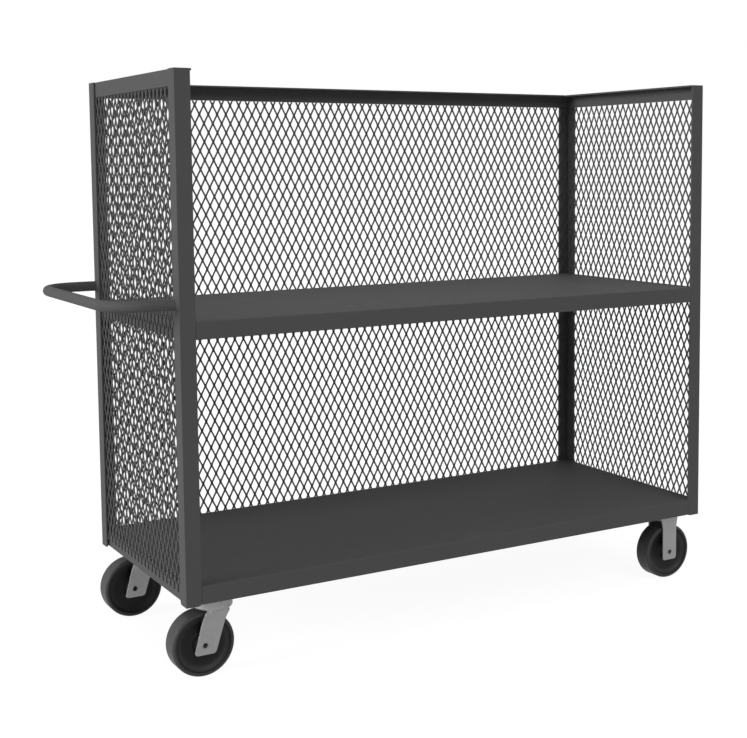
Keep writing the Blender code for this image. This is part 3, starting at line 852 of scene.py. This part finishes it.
def hex_rings(flats, low, high, facets, crown_low, crown_high):
    """Rings of a hexagon between two heights, with its corners turned down at either end if asked."""
    face = bolt_face_share * flats / 2
    crown_slope = 0.577
    rings = []
    if crown_low:
        rings.append([(face, low)] * facets)
    turns = [2 * math.pi * i / facets for i in range(facets)]
    for end, crowned, way in ((low, crown_low, 1), (high, crown_high, -1)):
        drop = [(hex_reach(t, flats) - face) * crown_slope if crowned else 0.0 for t in turns]
        rings.append([(hex_reach(t, flats), end + way * d) for t, d in zip(turns, drop)])
    if crown_high:
        rings.append([(face, high)] * facets)
    return rings


def add_bolt(label, x, y):
    """A hexagon bolt with its head under the plate and its nut above the channel's web."""
    facets = 36
    head_top = plate_under_z - gap
    head_low = head_top - bolt_head_height
    nut_low = channel_z + angle_wall + gap
    nut_high = nut_low + bolt_nut_height
    face_low = head_top - bolt_washer_face
    rings = hex_rings(bolt_flats, head_low, face_low, facets, True, False)
    washer = bolt_washer_share * bolt_flats / 2
    rings += [[(washer, face_low)] * facets, [(washer, head_top)] * facets]
    rings += [[(bolt_radius, head_top)] * facets, [(bolt_radius, nut_low)] * facets]
    rings += hex_rings(bolt_flats, nut_low, nut_high, facets, True, True)
    rings += [[(bolt_radius, nut_high)] * facets]
    vertices = []
    for ring in rings:
        for i, (radius, z) in enumerate(ring):
            turn = 2 * math.pi * i / facets
            vertices.append((radius * math.cos(turn), radius * math.sin(turn), z))
    faces = ring_faces(len(rings), facets, False)
    bolt = piece_from("hex_" + label, vertices, faces, zinc, "zinc_plate", bolt_sharp, (x, y, 0))
    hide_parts(label)
    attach(bolt, "root")


# The boxes that the forks lie in, about the place of each
swivel_room = ((-0.0640, -0.0500, 0.0500), (0.0500, 0.0500, 0.1862))
rigid_room = ((-0.0600, -0.0530, 0.0500), (0.0600, 0.0530, 0.1940))
swivel_net = surface_net(swivel_field, *swivel_room, fork_step)
rigid_net = surface_net(rigid_field, *rigid_room, fork_step)
for depth_label, side in (("front", -1), ("rear", 1)):
    y = side * caster_y
    swivel = "swivel_" + depth_label
    rigid = "rigid_" + depth_label
    add_fork("swivel_fork_" + depth_label, swivel_net, (swivel_x, y, 0), swivel)
    add_fork("rigid_fork_" + depth_label, rigid_net, (rigid_x, y, 0), "root")
    add_wheel_set(swivel, wheel_x, y, "wheel_" + swivel, swivel)
    add_wheel_set(rigid, rigid_x, y, "wheel_" + rigid, "root")
    for prefix, x in ((swivel, swivel_x), (rigid, rigid_x)):
        spots = [(x + i * hole_pitch_x / 2, y + j * hole_pitch_y / 2) for i in (-1, 1) for j in (-1, 1)]
        for number, (bolt_x, bolt_y) in enumerate(spots):
            add_bolt(f"{prefix}_bolt_{number + 1}", bolt_x, bolt_y)


# The CAD nodes that stay

node_slots = {"post": "grey_paint", "top_rail": "grey_paint", "lower_deck": "grey_paint",
              "middle_shelf": "grey_paint", "caster_channel": "grey_paint", "deck_stiffener": "grey_paint",
              "swivel_plate": "zinc_plate", "kingpin": "bright_steel", "ball_ring": "bright_steel",
              "axle_sleeve": "bright_steel", "wheel_bearing": "bright_steel"}
node_edges = {"post": 0.0013, "top_rail": 0.0013, "lower_deck": 0.0005, "middle_shelf": 0.0005,
              "caster_channel": 0.0008, "deck_stiffener": 0.0005, "swivel_plate": 0.0008}
for name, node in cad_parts.items():
    if node.hide_render:
        continue
    for prefix, slot in node_slots.items():
        if name.startswith(prefix):
            node.data.materials.clear()
            node.data.materials.append(slot_materials[slot])
            if prefix in node_edges:
                soften_node(node, node_edges[prefix])


# Floor, light and camera

floor_half = 25.0
floor_drop = 0.0002
floor_bounce = 0.80
floor_shade = 0.12
floor_glow = 0.935
horizon_light = 0.16
zenith_light = 0.56
zenith_from = 0.85
lamp_spread = 32
lamp_distance = 4
lamps = [("key", (-0.95, 0.06, 0.27), 2.75), ("fill", (0.05, -0.76, 0.65), 1.0)]


def camera_like(tree):
    """1 for the rays that should see a white background: from the camera, in gloss and through glass."""
    path = tree.nodes.new("ShaderNodeLightPath")
    total = path.outputs["Is Camera Ray"]
    for name in ("Is Glossy Ray", "Is Transmission Ray"):
        larger = tree.nodes.new("ShaderNodeMath")
        larger.operation = "MAXIMUM"
        tree.links.new(total, larger.inputs[0])
        tree.links.new(path.outputs[name], larger.inputs[1])
        total = larger.outputs["Value"]
    return total


def add_floor():
    """A pale floor that keeps a shadow: matt to the light, and nearly white to the camera."""
    mesh = bpy.data.meshes.new("floor")
    corners = [(-floor_half, -floor_half, 0), (floor_half, -floor_half, 0), (floor_half, floor_half, 0),
               (-floor_half, floor_half, 0)]
    mesh.from_pydata(corners, [], [(0, 1, 2, 3)])
    material = bpy.data.materials.new("floor")
    material.use_nodes = True
    tree = material.node_tree
    tree.nodes.clear()
    seen = camera_like(tree)
    matt = tree.nodes.new("ShaderNodeBsdfDiffuse")
    tree.links.new(ramp(tree, seen, floor_bounce, floor_shade, 0.0, 1.0), matt.inputs["Color"])
    white = tree.nodes.new("ShaderNodeEmission")
    white.inputs["Color"].default_value = (1, 1, 1, 1)
    tree.links.new(ramp(tree, seen, 0.0, floor_glow, 0.0, 1.0), white.inputs["Strength"])
    both = tree.nodes.new("ShaderNodeAddShader")
    output = tree.nodes.new("ShaderNodeOutputMaterial")
    tree.links.new(matt.outputs["BSDF"], both.inputs[0])
    tree.links.new(white.outputs["Emission"], both.inputs[1])
    tree.links.new(both.outputs["Shader"], output.inputs["Surface"])
    mesh.materials.append(material)
    floor = bpy.data.objects.new("floor", mesh)
    floor.location = (0, 0, -floor_drop)
    bpy.context.scene.collection.objects.link(floor)


def add_world():
    """Light that grows from the horizon to the zenith, behind a white backdrop."""
    world = bpy.data.worlds.new("studio")
    bpy.context.scene.world = world
    world.use_nodes = True
    tree = world.node_tree
    backdrop = tree.nodes["Background"]
    where = tree.nodes.new("ShaderNodeTexCoord")
    split = tree.nodes.new("ShaderNodeSeparateXYZ")
    tree.links.new(where.outputs["Generated"], split.inputs["Vector"])
    sky = ramp(tree, split.outputs["Z"], horizon_light, zenith_light, 0.0, zenith_from)
    level = tree.nodes.new("ShaderNodeMix")
    level.data_type = "FLOAT"
    level.inputs["B"].default_value = 1.0
    tree.links.new(camera_like(tree), level.inputs["Factor"])
    tree.links.new(sky, level.inputs["A"])
    backdrop.inputs["Color"].default_value = (1, 1, 1, 1)
    tree.links.new(level.outputs["Result"], backdrop.inputs["Strength"])


def add_lamp(name, towards, energy):
    """A soft lamp at a great distance, in the direction given."""
    light = bpy.data.lights.new(name, "SUN")
    light.energy = energy
    light.angle = math.radians(lamp_spread)
    lamp = bpy.data.objects.new(name, light)
    lamp.rotation_euler = Vector(towards).to_track_quat("Z", "Y").to_euler()
    lamp.location = Vector(towards) * lamp_distance
    bpy.context.scene.collection.objects.link(lamp)


def add_camera():
    """The camera as fitted to the photograph's straight edges."""
    yaw, pitch, roll = 0.546330, -0.090599, -0.0065565
    focal_px = 1335.924
    centre_px = (437.734, 287.717)
    width_px, height_px = 747, 738
    place = (-1.72452, -3.11678, 1.17262)
    data = bpy.data.cameras.new("camera")
    data.sensor_width = 36
    data.lens = focal_px * data.sensor_width / width_px
    data.shift_x = (width_px / 2 - centre_px[0]) / width_px
    data.shift_y = (centre_px[1] - height_px / 2) / width_px
    data.clip_end = 100
    camera = bpy.data.objects.new("camera", data)
    aim = Euler((math.pi / 2 + pitch, 0, -yaw)).to_matrix() @ Matrix.Rotation(roll, 3, "Z")
    camera.matrix_world = Matrix.Translation(place) @ aim.to_4x4()
    bpy.context.scene.collection.objects.link(camera)
    bpy.context.scene.camera = camera


add_floor()
add_world()
for name, towards, energy in lamps:
    add_lamp(name, towards, energy)
add_camera()
bpy.context.scene.view_settings.view_transform = "Standard"
